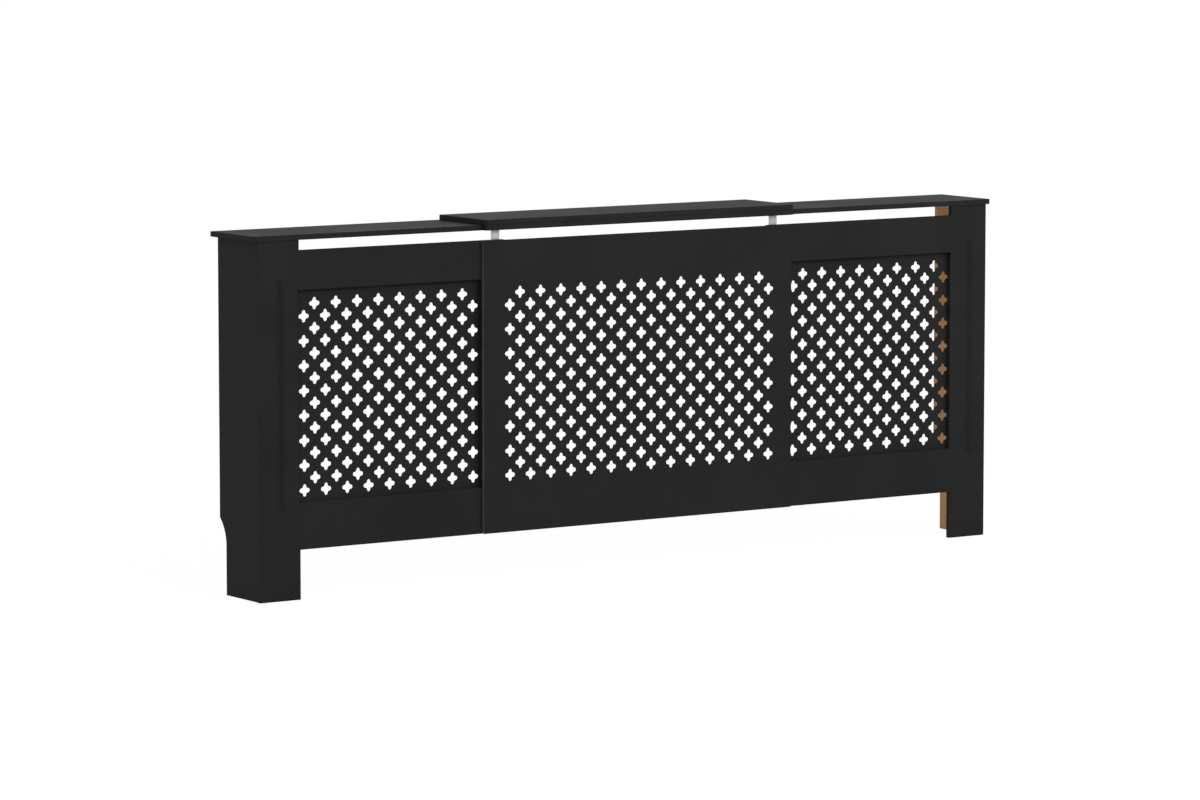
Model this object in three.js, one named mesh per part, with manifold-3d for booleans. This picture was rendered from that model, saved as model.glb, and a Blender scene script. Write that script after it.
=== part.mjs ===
// A radiator cover in three telescoping pieces, of painted MDF board.
// Two end units, each a windowed front frame, a side board and a top board, slide behind
// and under a middle front panel and a middle top board. The model shows it fully drawn out.
// Millimetres. X runs along the front, Y from the room to the wall, Z up from the floor.
// Y is worked out from the middle front panel's mid-plane, and the finished cover is moved so that
// the origin is the centre of its footprint, on the floor.

import * as THREE from 'three';
import { mergeVertices } from 'three/addons/utils/BufferGeometryUtils.js';
import Module from 'manifold-3d';

// ---- Whole cover ----
const overallLength = 2050;
const coverDepth = 190;
const seatGap = 0.3;
const slideGap = 0.5;

// ---- Front frames of the end units ----
const frameThickness = 12;
const legWidth = 105;
const outerStileWidth = 104;
const innerStileWidth = 24;
const railTongue = 32;
const tongueSetback = 4;
const windowWidth = 486;
const windowShift = -3;
const windowHeight = 474;
const bottomRailHeight = 105.5;
const topRailHeight = 88.5;
const floorGap = 112;
const airGap = 23.2;
const grooveWidth = 26;
const grooveDepth = 6;
const grooveFloorWidth = 4;
const grooveOverrun = 24.5;

// ---- Clover lattice, pierced in thin board ----
const latticeThickness = 3;
const latticePitch = 55.6;
const cutoutTip = 14.6;
const cutoutWaist = 9.6;
const cutoutPoints = 8;
const patternMarginX = 17.2;
const patternMarginZ = 25;
const middleMarginX = 60;
const patternShift = 3;
const latticeBorder = 20;

// ---- Side boards, with the cut that clears a skirting board ----
const sideThickness = 15;
const sideInset = 2;
const skirtingDepth = 28;
const skirtingHeight = 112;
const skirtingRadius = 80;

// ---- Top boards ----
const topThickness = 12;
const topEndOverhang = 11;
const topFrontOverhang = 3.4;
const topBackOverhang = 10;
const topCornerRadius = 6;
const middleTopOverhang = 0.5;
const middleTopDepth = 197.5;
const lipThickness = 12;
const lipHeight = 12;
const lipGap = 3.5;

// ---- Middle front panel, its end strips and its guide channels ----
const panelOverlap = 61;
const stripWidth = 25;
const stripThickness = 5.1;
const channelHeight = 16;
const channelWall = 1;
const channelSlot = 6.4;

// ---- Guide bolts and wing nuts ----
const boltRadius = 2.5;
const boltHeadRadius = 5.6;
const boltHeadHeight = 2.4;
const boltInset = 24;
const boltTail = 2;
const nutRadius = 5.5;
const nutHeight = 7;
const wingSpan = 26;
const wingThickness = 3;
const wingRise = 4;

// ---- Angle brackets and their screws ----
const bracketThickness = 2;
const bracketWidth = 22;
const bracketLeg = 30;
const tallBracketLeg = 50;
const screwInset = 20;
const tallScrewInset = 38;
const screwRadius = 1.6;
const screwHeadRadius = 3.6;
const screwHeadHeight = 2;
const screwLength = 11;
const wallHoleRadius = 2.5;
const innerBracketInset = 19.5;
const upperCornerDrop = 60;
const lowerCornerRise = 38;
const topBracketSetback = 100;
const wallBracketDrop = 50;

// ---- Facets ----
const roundSides = 8;
const grooveArcSteps = 5;
const cornerArcSteps = 3;
const skirtingArcSteps = 6;

// ---- Places worked out from the sizes ----
const frameEndX = overallLength / 2 - topEndOverhang;
const legInnerX = frameEndX - legWidth;
const windowOuterX = frameEndX - outerStileWidth;
const windowInnerX = windowOuterX - windowWidth;
const stileInnerX = windowInnerX - innerStileWidth;
const frameInnerX = stileInnerX - railTongue;
const windowBottomZ = floorGap + bottomRailHeight;
const windowTopZ = windowBottomZ + windowHeight;
const railTopZ = windowTopZ + topRailHeight;
const topUndersideZ = railTopZ + airGap;
const topSurfaceZ = topUndersideZ + topThickness;
const postTopZ = topUndersideZ - seatGap;
const middlePanelHalf = frameInnerX + panelOverlap;
const middleTopHalf = middlePanelHalf + middleTopOverhang;

// Columns stand half a pitch apart, and a row is two of them, one half a pitch higher than the other.
const columnStep = latticePitch / 2;
const sideColumns = 1 + Math.floor((windowWidth - 2 * patternMarginX) / columnStep);
const middleColumns = 1 + 2 * Math.floor((middlePanelHalf - middleMarginX) / columnStep);
const latticeRows = 1 + Math.floor((windowHeight - 2 * patternMarginZ - columnStep) / latticePitch);

const panelFrontY = -latticeThickness / 2;
const stripFrontY = latticeThickness / 2 + seatGap;
const stripBackY = stripFrontY + stripThickness;
const frameFrontY = stripBackY + slideGap;
const frameBackY = frameFrontY + frameThickness;
const behindFrameY = frameBackY + seatGap;
const wallY = frameFrontY + coverDepth;
const topFrontY = frameFrontY - topFrontOverhang;
const lipFrontY = topFrontY - lipGap - lipThickness;

const sideOuterX = frameEndX - sideInset;
const sideInnerX = sideOuterX - sideThickness;
const sideBackY = wallY - topBackOverhang;
const upperGuideZ = railTopZ - topRailHeight / 2;
const lowerGuideZ = floorGap + bottomRailHeight / 2;
const boltX = frameInnerX + boltInset;
const innerBracketX = frameInnerX + innerBracketInset;
const upperCornerZ = railTopZ - upperCornerDrop;
const lowerCornerZ = floorGap + lowerCornerRise;
const wallBracketZ = railTopZ - wallBracketDrop;
const boltHoleRadius = boltRadius + seatGap;
const screwHoleRadius = screwRadius + seatGap;

// ---- Directions ----
const alongX = new THREE.Vector3(1, 0, 0);
const alongY = new THREE.Vector3(0, 1, 0);
const alongZ = new THREE.Vector3(0, 0, 1);
const sides = [{ name: 'left', sign: -1 }, { name: 'right', sign: 1 }];

// ---- Materials ----
const blackPaint = new THREE.MeshStandardMaterial({ color: 0x282828, roughness: 0.5, metalness: 0 });
const zincSteel = new THREE.MeshStandardMaterial({ color: 0xa4a4a4, roughness: 0.4, metalness: 0.9 });
const anodised = new THREE.MeshStandardMaterial({ color: 0xb4b6b8, roughness: 0.35, metalness: 0.9 });

// ---- Booleans ----
const wasm = await Module();
wasm.setup();

function toManifold(geometry) {
  const bare = geometry.clone();
  bare.deleteAttribute('normal');
  bare.deleteAttribute('uv');
  const merged = mergeVertices(bare);
  return new wasm.Manifold(new wasm.Mesh({
    numProp: 3,
    vertProperties: new Float32Array(merged.attributes.position.array),
    triVerts: new Uint32Array(merged.index.array),
  }));
}

function toGeometry(manifold) {
  const mesh = manifold.getMesh();
  const geometry = new THREE.BufferGeometry();
  geometry.setAttribute('position', new THREE.BufferAttribute(mesh.vertProperties, mesh.numProp));
  geometry.setIndex(new THREE.BufferAttribute(mesh.triVerts, 1));
  geometry.computeVertexNormals();
  return geometry;
}

function subtractAll(geometry, cutters) {
  const solid = cutters.reduce((body, cutter) => body.subtract(toManifold(cutter)), toManifold(geometry));
  return toGeometry(solid);
}

// ---- Outlines ----
function polygon(points) {
  return new THREE.Shape(points.map(([x, y]) => new THREE.Vector2(x, y)));
}

function rectangle(x0, y0, x1, y1) {
  return polygon([[x0, y0], [x1, y0], [x1, y1], [x0, y1]]);
}

// A straight-sided star with the clover's area: a point at each lobe and one at each waist.
function cloverCutout(x, z) {
  const hole = [];
  for (let k = 0; k < cutoutPoints; k += 1) {
    const angle = (2 * Math.PI * k) / cutoutPoints;
    const isLobe = (4 * k) % cutoutPoints === 0;
    const radius = isLobe ? cutoutTip : cutoutWaist;
    hole.push([x + radius * Math.cos(angle), z + radius * Math.sin(angle)]);
  }
  return polygon(hole);
}

// Rows are one pitch apart; every second column stands half a pitch higher.
function pierce(outline, firstX, columns) {
  const bottomZ = windowBottomZ + patternMarginZ;
  for (let column = 0; column < columns; column += 1) {
    const rise = column % 2 === 1 ? columnStep : 0;
    for (let row = 0; row < latticeRows; row += 1) {
      const x = firstX + column * columnStep;
      outline.holes.push(cloverCutout(x, bottomZ + rise + row * latticePitch));
    }
  }
  return outline;
}

// A board's plan, with its two front corners rounded where a radius is given.
function boardPlan(x0, x1, frontY, backY, leftRadius, rightRadius) {
  const plan = new THREE.Shape();
  plan.moveTo(x0, backY);
  plan.lineTo(x0, frontY + leftRadius);
  if (leftRadius > 0) {
    plan.absarc(x0 + leftRadius, frontY + leftRadius, leftRadius, Math.PI, 1.5 * Math.PI, false);
  }
  plan.lineTo(x1 - rightRadius, frontY);
  if (rightRadius > 0) {
    plan.absarc(x1 - rightRadius, frontY + rightRadius, rightRadius, -Math.PI / 2, 0, false);
  }
  plan.lineTo(x1, backY);
  return plan;
}

// ---- Boards from outlines ----
// An outline in X and Z, thickened from frontY towards the wall.
function uprightBoard(outline, frontY, thickness) {
  const geometry = new THREE.ExtrudeGeometry(outline, { depth: thickness, bevelEnabled: false });
  geometry.applyMatrix4(new THREE.Matrix4().makeBasis(alongX, alongZ, alongY.clone().negate()));
  geometry.translate(0, frontY + thickness, 0);
  return geometry;
}

// An outline in X and Y, thickened upwards from bottomZ.
function flatBoard(outline, bottomZ, thickness) {
  const geometry = new THREE.ExtrudeGeometry(outline, {
    depth: thickness,
    bevelEnabled: false,
    curveSegments: cornerArcSteps,
  });
  geometry.translate(0, 0, bottomZ);
  return geometry;
}

// An outline in Y and Z, thickened along X from lowX.
function crossBoard(outline, lowX, thickness) {
  const geometry = new THREE.ExtrudeGeometry(outline, {
    depth: thickness,
    bevelEnabled: false,
    curveSegments: skirtingArcSteps,
  });
  geometry.applyMatrix4(new THREE.Matrix4().makeBasis(alongY, alongZ, alongX));
  geometry.translate(lowX, 0, 0);
  return geometry;
}

// ---- Round parts ----
// A turned profile of [radius, distance] pairs, along direction from a point.
function turned(profile, point, direction) {
  const geometry = new THREE.LatheGeometry(profile.map(([r, h]) => new THREE.Vector2(r, h)), roundSides);
  const turn = new THREE.Quaternion().setFromUnitVectors(alongY, direction);
  geometry.applyQuaternion(turn);
  geometry.translate(point.x, point.y, point.z);
  return geometry;
}

function rod(radius, from, to, point, direction) {
  return turned([[0, from], [radius, from], [radius, to], [0, to]], point, direction);
}

function mesh(name, geometry, material) {
  const piece = new THREE.Mesh(geometry, material);
  piece.name = name;
  return piece;
}

// ---- Screws: the head bears on the bracket, the shank points along direction ----
function screw(name, seat) {
  const profile = [
    [0, -screwHeadHeight],
    [screwHeadRadius, -screwHeadHeight],
    [screwHeadRadius, 0],
    [screwRadius, 0],
    [screwRadius, screwLength],
    [0, screwLength],
  ];
  const back = seat.direction.clone().multiplyScalar(-seatGap);
  return mesh(name, turned(profile, seat.point.clone().add(back), seat.direction), zincSteel);
}

function screwHole(seat) {
  return rod(screwHoleRadius, 0, screwLength + seatGap, seat.point, seat.direction);
}

// ---- Angle brackets ----
// The corner is where two board faces meet. Leg one runs along one face, leg two along the other,
// and each leg has a screw that points into the board under it.
function bracketPlace({ corner, legOne, legTwo, lengthOne, lengthTwo, insetOne, insetTwo }) {
  const lift = legOne.clone().add(legTwo).multiplyScalar(seatGap);
  const origin = corner.clone().add(lift);
  const onLegOne = origin.clone()
    .addScaledVector(legOne, insetOne)
    .addScaledVector(legTwo, bracketThickness);
  const onLegTwo = origin.clone()
    .addScaledVector(legTwo, insetTwo)
    .addScaledVector(legOne, bracketThickness);
  return {
    origin,
    legOne,
    legTwo,
    lengthOne,
    lengthTwo,
    seatOne: { point: onLegOne, direction: legTwo.clone().negate() },
    seatTwo: { point: onLegTwo, direction: legOne.clone().negate() },
  };
}

function bracketMesh(name, place, holeTwoRadius = screwHoleRadius) {
  const profile = polygon([
    [0, 0],
    [place.lengthOne, 0],
    [place.lengthOne, bracketThickness],
    [bracketThickness, bracketThickness],
    [bracketThickness, place.lengthTwo],
    [0, place.lengthTwo],
  ]);
  const geometry = new THREE.ExtrudeGeometry(profile, { depth: bracketWidth, bevelEnabled: false });
  geometry.translate(0, 0, -bracketWidth / 2);
  const across = place.legOne.clone().cross(place.legTwo);
  geometry.applyMatrix4(new THREE.Matrix4().makeBasis(place.legOne, place.legTwo, across));
  geometry.translate(place.origin.x, place.origin.y, place.origin.z);
  const reach = 2 * bracketThickness;
  const holes = [
    rod(screwHoleRadius, -reach, reach, place.seatOne.point, place.seatOne.direction),
    rod(holeTwoRadius, -reach, reach, place.seatTwo.point, place.seatTwo.direction),
  ];
  return mesh(name, subtractAll(geometry, holes), zincSteel);
}

// ---- Guide bolts: the head runs in a channel, the shank passes through the frame ----
const boltHeadFrontY = stripFrontY + channelWall + (stripThickness - 2 * channelWall - boltHeadHeight) / 2;
const boltEndY = behindFrameY + nutHeight + boltTail;

function guideBolt(name, x, z) {
  const bearing = boltHeadHeight;
  const end = boltEndY - boltHeadFrontY;
  const profile = [
    [0, 0],
    [boltHeadRadius, 0],
    [boltHeadRadius, bearing],
    [boltRadius, bearing],
    [boltRadius, end],
    [0, end],
  ];
  return mesh(name, turned(profile, new THREE.Vector3(x, boltHeadFrontY, z), alongY), zincSteel);
}

function wingNut(name, x, z) {
  const point = new THREE.Vector3(x, behindFrameY, z);
  const hub = rod(nutRadius, 0, nutHeight, point, alongY);
  const wings = new THREE.BoxGeometry(wingSpan, nutHeight, wingThickness);
  wings.translate(x, behindFrameY + nutHeight / 2 + wingRise, z);
  const bore = rod(boltHoleRadius, -nutHeight, 3 * nutHeight, point, alongY);
  const solid = toManifold(hub).add(toManifold(wings)).subtract(toManifold(bore));
  return mesh(name, toGeometry(solid), zincSteel);
}

// ---- Front frame of one end unit ----
// Both rails run on past the inner stile, as slightly narrower tongues that carry the guide bolts.
function vGrooveCutter(centreX) {
  const radius = grooveWidth / 2;
  const bottom = windowBottomZ - grooveOverrun + radius;
  const top = windowTopZ + grooveOverrun - radius;
  const outline = new THREE.Shape();
  outline.absarc(centreX, top, radius, 0, Math.PI, false);
  outline.absarc(centreX, bottom, radius, Math.PI, 2 * Math.PI, false);
  const slope = (grooveWidth - grooveFloorWidth) / 2;
  const geometry = new THREE.ExtrudeGeometry(outline, {
    depth: 2 * seatGap,
    curveSegments: grooveArcSteps,
    bevelEnabled: true,
    bevelSegments: 1,
    bevelThickness: grooveDepth,
    bevelSize: slope,
    bevelOffset: -slope,
  });
  geometry.applyMatrix4(new THREE.Matrix4().makeBasis(alongX, alongZ, alongY.clone().negate()));
  geometry.translate(0, frameFrontY, 0);
  return geometry;
}

function frontFrame(side, seats) {
  const { name, sign } = side;
  const upperTongueZ = windowTopZ + tongueSetback;
  const lowerTongueZ = windowBottomZ - tongueSetback;
  const outline = polygon([
    [sign * frameEndX, 0],
    [sign * frameEndX, postTopZ],
    [sign * legInnerX, postTopZ],
    [sign * legInnerX, railTopZ],
    [sign * frameInnerX, railTopZ],
    [sign * frameInnerX, upperTongueZ],
    [sign * stileInnerX, upperTongueZ],
    [sign * stileInnerX, lowerTongueZ],
    [sign * frameInnerX, lowerTongueZ],
    [sign * frameInnerX, floorGap],
    [sign * legInnerX, floorGap],
    [sign * legInnerX, 0],
  ]);
  const windowA = sign * windowOuterX + windowShift;
  const windowB = sign * windowInnerX + windowShift;
  outline.holes.push(rectangle(windowA, windowBottomZ, windowB, windowTopZ));
  const board = uprightBoard(outline, frameFrontY, frameThickness);
  const grooveX = sign * (frameEndX - legWidth / 2);
  const boltHoles = [upperGuideZ, lowerGuideZ].map((z) => {
    const front = new THREE.Vector3(sign * boltX, frameFrontY, z);
    return rod(boltHoleRadius, -frameThickness, 2 * frameThickness, front, alongY);
  });
  const cutters = [vGrooveCutter(grooveX), ...boltHoles, ...seats.map(screwHole)];
  return mesh(`${name}_front_frame`, subtractAll(board, cutters), blackPaint);
}

function latticePanel(side) {
  const { name, sign } = side;
  const outerX = sign * (windowOuterX + latticeBorder) + patternShift;
  const innerX = sign * (windowInnerX - latticeBorder) + patternShift;
  const lowX = Math.min(outerX, innerX);
  const highX = Math.max(outerX, innerX);
  const span = (sideColumns - 1) * columnStep;
  const outerColumnX = sign * (windowOuterX - patternMarginX) + patternShift;
  const firstX = sign > 0 ? outerColumnX - span : outerColumnX;
  const outline = rectangle(lowX, windowBottomZ - latticeBorder, highX, windowTopZ + latticeBorder);
  const panel = uprightBoard(pierce(outline, firstX, sideColumns), behindFrameY, latticeThickness);
  return mesh(`${name}_lattice_panel`, panel, blackPaint);
}

// The back edge steps in over the skirting board and comes out again on a hollow curve.
function sideBoard(side, seats) {
  const { name, sign } = side;
  const heelY = sideBackY - skirtingDepth;
  const sweep = Math.acos(1 - skirtingDepth / skirtingRadius);
  const outline = new THREE.Shape();
  outline.moveTo(behindFrameY, 0);
  outline.lineTo(heelY, 0);
  outline.lineTo(heelY, skirtingHeight);
  outline.absarc(heelY + skirtingRadius, skirtingHeight, skirtingRadius, Math.PI, Math.PI - sweep, true);
  outline.lineTo(sideBackY, postTopZ);
  outline.lineTo(behindFrameY, postTopZ);
  const lowX = sign > 0 ? sideInnerX : -sideOuterX;
  const board = crossBoard(outline, lowX, sideThickness);
  return mesh(`${name}_side_board`, subtractAll(board, seats.map(screwHole)), blackPaint);
}

function endTopBoard(side, seats) {
  const { name, sign } = side;
  const endX = overallLength / 2;
  const plan = sign > 0
    ? boardPlan(frameInnerX, endX, topFrontY, wallY, 0, topCornerRadius)
    : boardPlan(-endX, -frameInnerX, topFrontY, wallY, topCornerRadius, 0);
  const board = flatBoard(plan, topUndersideZ, topThickness);
  return mesh(`${name}_top_board`, subtractAll(board, seats.map(screwHole)), blackPaint);
}

// ---- One end unit ----
function endUnit(side) {
  const { name, sign } = side;
  const down = alongZ.clone().negate();
  const back = alongY;
  const inward = alongX.clone().multiplyScalar(-sign);

  const railBracket = bracketPlace({
    corner: new THREE.Vector3(sign * innerBracketX + patternShift, frameBackY, topUndersideZ),
    legOne: down,
    legTwo: back,
    lengthOne: tallBracketLeg,
    lengthTwo: bracketLeg,
    insetOne: tallScrewInset,
    insetTwo: screwInset,
  });
  const topBracket = bracketPlace({
    corner: new THREE.Vector3(sign * sideInnerX, frameBackY + topBracketSetback, topUndersideZ),
    legOne: down,
    legTwo: inward,
    lengthOne: bracketLeg,
    lengthTwo: bracketLeg,
    insetOne: screwInset,
    insetTwo: screwInset,
  });
  const cornerBrackets = [upperCornerZ, lowerCornerZ].map((z) => bracketPlace({
    corner: new THREE.Vector3(sign * sideInnerX, frameBackY, z),
    legOne: inward,
    legTwo: back,
    lengthOne: bracketLeg,
    lengthTwo: bracketLeg,
    insetOne: screwInset,
    insetTwo: screwInset,
  }));
  const wallBracket = bracketPlace({
    corner: new THREE.Vector3(sign * sideInnerX, wallY, wallBracketZ),
    legOne: back.clone().negate(),
    legTwo: inward,
    lengthOne: bracketLeg,
    lengthTwo: bracketLeg,
    insetOne: screwInset,
    insetTwo: screwInset,
  });
  const [upperCorner, lowerCorner] = cornerBrackets;

  const frameSeats = [railBracket.seatOne, upperCorner.seatOne, lowerCorner.seatOne];
  const sideSeats = [upperCorner.seatTwo, lowerCorner.seatTwo, topBracket.seatOne, wallBracket.seatOne];
  const topSeats = [railBracket.seatTwo, topBracket.seatTwo];

  const unit = new THREE.Group();
  unit.add(
    frontFrame(side, frameSeats),
    latticePanel(side),
    sideBoard(side, sideSeats),
    endTopBoard(side, topSeats),
    bracketMesh(`${name}_rail_bracket`, railBracket),
    screw(`${name}_rail_bracket_screw_low`, railBracket.seatOne),
    screw(`${name}_rail_bracket_screw_top`, railBracket.seatTwo),
    bracketMesh(`${name}_top_bracket`, topBracket),
    screw(`${name}_top_bracket_screw_side`, topBracket.seatOne),
    screw(`${name}_top_bracket_screw_top`, topBracket.seatTwo),
    bracketMesh(`${name}_upper_corner_bracket`, upperCorner),
    screw(`${name}_upper_corner_screw_front`, upperCorner.seatOne),
    screw(`${name}_upper_corner_screw_side`, upperCorner.seatTwo),
    bracketMesh(`${name}_lower_corner_bracket`, lowerCorner),
    screw(`${name}_lower_corner_screw_front`, lowerCorner.seatOne),
    screw(`${name}_lower_corner_screw_side`, lowerCorner.seatTwo),
    bracketMesh(`${name}_wall_bracket`, wallBracket, wallHoleRadius),
    screw(`${name}_wall_bracket_screw`, wallBracket.seatOne),
  );
  [['upper', upperGuideZ], ['lower', lowerGuideZ]].forEach(([level, z]) => {
    unit.add(guideBolt(`${name}_${level}_guide_bolt`, sign * boltX, z));
    unit.add(wingNut(`${name}_${level}_wing_nut`, sign * boltX, z));
  });
  return unit;
}

// ---- Middle unit ----
function middlePanel() {
  const firstX = patternShift - ((middleColumns - 1) * columnStep) / 2;
  const outline = pierce(
    rectangle(-middlePanelHalf, floorGap, middlePanelHalf, railTopZ),
    firstX,
    middleColumns,
  );
  return mesh('middle_front_panel', uprightBoard(outline, panelFrontY, latticeThickness), blackPaint);
}

function endStrip(side) {
  const lowX = side.sign > 0 ? middlePanelHalf - stripWidth : -middlePanelHalf;
  const outline = rectangle(lowX, floorGap, lowX + stripWidth, railTopZ);
  return mesh(`middle_end_strip_${side.name}`, uprightBoard(outline, stripFrontY, stripThickness), blackPaint);
}

// A C-section channel whose slot faces the wall, between the two end strips.
function guideChannel(name, z) {
  const halfLength = middlePanelHalf - stripWidth - seatGap;
  const outerY = stripFrontY;
  const backY = stripBackY;
  const halfHeight = channelHeight / 2;
  const cavity = halfHeight - channelWall;
  const slot = channelSlot / 2;
  const outline = polygon([
    [outerY, z - halfHeight],
    [backY, z - halfHeight],
    [backY, z - slot],
    [backY - channelWall, z - slot],
    [backY - channelWall, z - cavity],
    [outerY + channelWall, z - cavity],
    [outerY + channelWall, z + cavity],
    [backY - channelWall, z + cavity],
    [backY - channelWall, z + slot],
    [backY, z + slot],
    [backY, z + halfHeight],
    [outerY, z + halfHeight],
  ]);
  return mesh(name, crossBoard(outline, -halfLength, 2 * halfLength), anodised);
}

function middleTop() {
  const half = middleTopHalf;
  const backY = lipFrontY + middleTopDepth;
  const plan = boardPlan(-half, half, lipFrontY, backY, topCornerRadius, topCornerRadius);
  const bottomZ = topSurfaceZ + slideGap;
  return mesh('middle_top_board', flatBoard(plan, bottomZ, topThickness), blackPaint);
}

function middleLip() {
  const half = middleTopHalf;
  const backY = lipFrontY + lipThickness;
  const plan = boardPlan(-half, half, lipFrontY, backY, topCornerRadius, topCornerRadius);
  const topZ = topSurfaceZ + slideGap - seatGap;
  return mesh('middle_top_lip', flatBoard(plan, topZ - lipHeight, lipHeight), blackPaint);
}

function middleUnit() {
  const unit = new THREE.Group();
  unit.add(
    middlePanel(),
    ...sides.map(endStrip),
    guideChannel('middle_upper_channel', upperGuideZ),
    guideChannel('middle_lower_channel', lowerGuideZ),
    middleTop(),
    middleLip(),
  );
  return unit;
}

// ---- Whole cover ----
const cover = new THREE.Group();
cover.position.y = -(lipFrontY + wallY) / 2;
cover.add(middleUnit());
sides.forEach((side) => cover.add(endUnit(side)));

export default cover;
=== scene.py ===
"""An extending radiator cover in black painted MDF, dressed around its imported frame.

Two end units, each a front frame with a clover lattice in its window, slide behind and under a middle
panel and a middle shelf. Painted faces are black; the faces nobody sees are bare brown board.
Everything is in metres: X along the front, Y from the room to the wall, Z up from the floor.
"""

import math

import bpy
import numpy as np
from bpy.props import FloatProperty, FloatVectorProperty, IntProperty, PointerProperty
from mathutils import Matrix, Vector


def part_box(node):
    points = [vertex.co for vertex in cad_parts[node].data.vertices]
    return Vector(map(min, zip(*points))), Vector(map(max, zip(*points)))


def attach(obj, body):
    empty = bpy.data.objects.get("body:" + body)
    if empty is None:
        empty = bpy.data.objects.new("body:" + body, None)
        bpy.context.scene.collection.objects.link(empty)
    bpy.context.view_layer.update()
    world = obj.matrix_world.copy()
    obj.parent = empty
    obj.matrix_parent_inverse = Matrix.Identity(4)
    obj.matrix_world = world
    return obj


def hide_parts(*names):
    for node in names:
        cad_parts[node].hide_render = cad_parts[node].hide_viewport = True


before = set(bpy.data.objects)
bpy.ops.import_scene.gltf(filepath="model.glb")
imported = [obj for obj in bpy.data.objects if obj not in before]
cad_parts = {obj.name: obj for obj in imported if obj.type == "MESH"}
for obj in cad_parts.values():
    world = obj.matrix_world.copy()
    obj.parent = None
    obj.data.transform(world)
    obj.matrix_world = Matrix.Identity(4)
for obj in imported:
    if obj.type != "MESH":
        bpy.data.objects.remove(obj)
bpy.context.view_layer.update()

bl_info = {
    "name": "Extending radiator cover",
    "version": (1, 0, 0),
    "blender": (4, 5, 0),
    "location": "3D View > Sidebar > Radiator cover",
    "description": "Builds a black clover lattice radiator cover around its frame",
    "category": "Object",
}

SIDES = (("left", -1.0), ("right", 1.0))
MIDDLE = "middle_unit"
X, Y, Z = np.eye(3)
PAINT, BARE, EDGE = 0, 1, 2


# ---- Sizes and colours ----
def number(name, description, default, **more):
    """A number, with its limits and its unit in more."""
    return FloatProperty(name=name, description=description, default=default, **more)


def length(name, description, default):
    """A length in metres, shown in the scene's unit."""
    return number(name, description, default, min=0.0, unit="LENGTH", precision=5)


class CoverSizes(bpy.types.PropertyGroup):
    """Sizes of the boards that the frame's boxes don't give."""

    leg_width: length("Leg width", "Width of a leg", 0.105)
    outer_stile: length("Outer stile", "From the frame's outer edge to its window", 0.104)
    inner_stile: length("Inner stile", "Width of the stile behind the middle panel", 0.024)
    rail_tongue: length("Rail tongue", "How far the rails run past the inner stile", 0.032)
    tongue_setback: length("Tongue setback", "How far a tongue is set back from the window", 0.004)
    floor_gap: length("Floor gap", "From the floor to the bottom rail", 0.112)
    bottom_rail: length("Bottom rail", "Height of the rail under the window", 0.1055)
    top_rail: length("Top rail", "Height of the rail over the window", 0.0885)
    rail_top: length("Rail top", "From the floor to the top rail's upper edge", 0.780)
    window_shift: length("Window shift", "How far the windows stand to the left", 0.003)
    skirting_depth: length("Skirting cut", "Depth of the cut-out at a side board's foot", 0.028)
    skirting_height: length("Skirting height", "Height of its straight part", 0.112)
    skirting_radius: length("Skirting curve", "Radius of the hollow curve over it", 0.080)
    shelf_corner: length("Shelf corner", "Radius of the shelves' front corners", 0.006)
    edge_ease: length("Eased edge", "Rounding sanded on the boards' edges", 0.0009)
    overspray: length("Overspray", "Width of the paint mist round a bare face", 0.005)


class LatticeSizes(bpy.types.PropertyGroup):
    """Sizes of the clover lattice."""

    pitch: length("Pitch", "Distance between two clovers in one column", 0.0556)
    margin_x: length("Side margin", "From the window's outer edge to the first column", 0.0172)
    shift: length("Lattice shift", "How far the clovers stand to the right", 0.003)
    margin_z: length("Foot margin", "From the window's lower edge to the first row", 0.025)
    lobe_radius: length("Lobe radius", "Radius of a clover's four lobes", 0.005)
    lobe_offset: length("Lobe offset", "Distance of a lobe's centre from the clover's", 0.009)
    rows: IntProperty(name="Rows", description="Clovers in one column", default=8, min=1)
    side_columns: IntProperty(name="Side columns", description="Columns in an end window", default=17, min=1)
    middle_columns: IntProperty(name="Middle columns", description="Columns in the middle", default=27, min=1)


class GrooveSizes(bpy.types.PropertyGroup):
    """The V groove cut down each leg's face."""

    width: length("Groove width", "Width at the face", 0.026)
    depth: length("Groove depth", "Depth below the face", 0.006)
    floor: length("Groove floor", "Width of its flat floor", 0.004)
    overrun: length("Groove overrun", "How far it runs past the window's edges", 0.0245)


class FittingSizes(bpy.types.PropertyGroup):
    """Sizes of the screws, brackets, bolts and nuts."""

    bracket_thickness: length("Bracket thickness", "Thickness of the steel strip", 0.002)
    bracket_bend: length("Bracket bend", "Outer radius of the bend", 0.003)
    bracket_corner: length("Bracket corner", "Radius of a leg's free corners", 0.004)
    hole_radius: length("Bracket hole", "Radius of the screw holes", 0.0019)
    wall_hole_radius: length("Wall hole", "Radius of the wall screw's hole", 0.0025)
    screw_radius: length("Screw radius", "Radius of the shank", 0.0016)
    screw_head: length("Screw head", "Height of the pan head", 0.002)
    screw_tip: length("Screw tip", "Length of the point", 0.003)
    cross_reach: length("Cross reach", "Half the length of the cross recess", 0.0016)
    cross_width: length("Cross width", "Half the width of its arms", 0.0004)
    bolt_radius: length("Bolt radius", "Outer radius of the bolt's thread", 0.0025)
    bolt_head: length("Bolt head", "Height of the bolt's head", 0.0024)
    thread_start: length("Thread start", "From the bolt's front to its thread", 0.014)
    thread_pitch: length("Thread pitch", "Distance between two of its crests", 0.0008)
    thread_depth: length("Thread depth", "From its crest to its root", 0.0004)
    nut_radius: length("Nut radius", "Radius of the wing nut's foot", 0.0055)
    nut_height: length("Nut height", "Height of the wing nut's hub", 0.007)
    wing_rise: length("Wing rise", "From the foot to the wings", 0.004)


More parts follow.
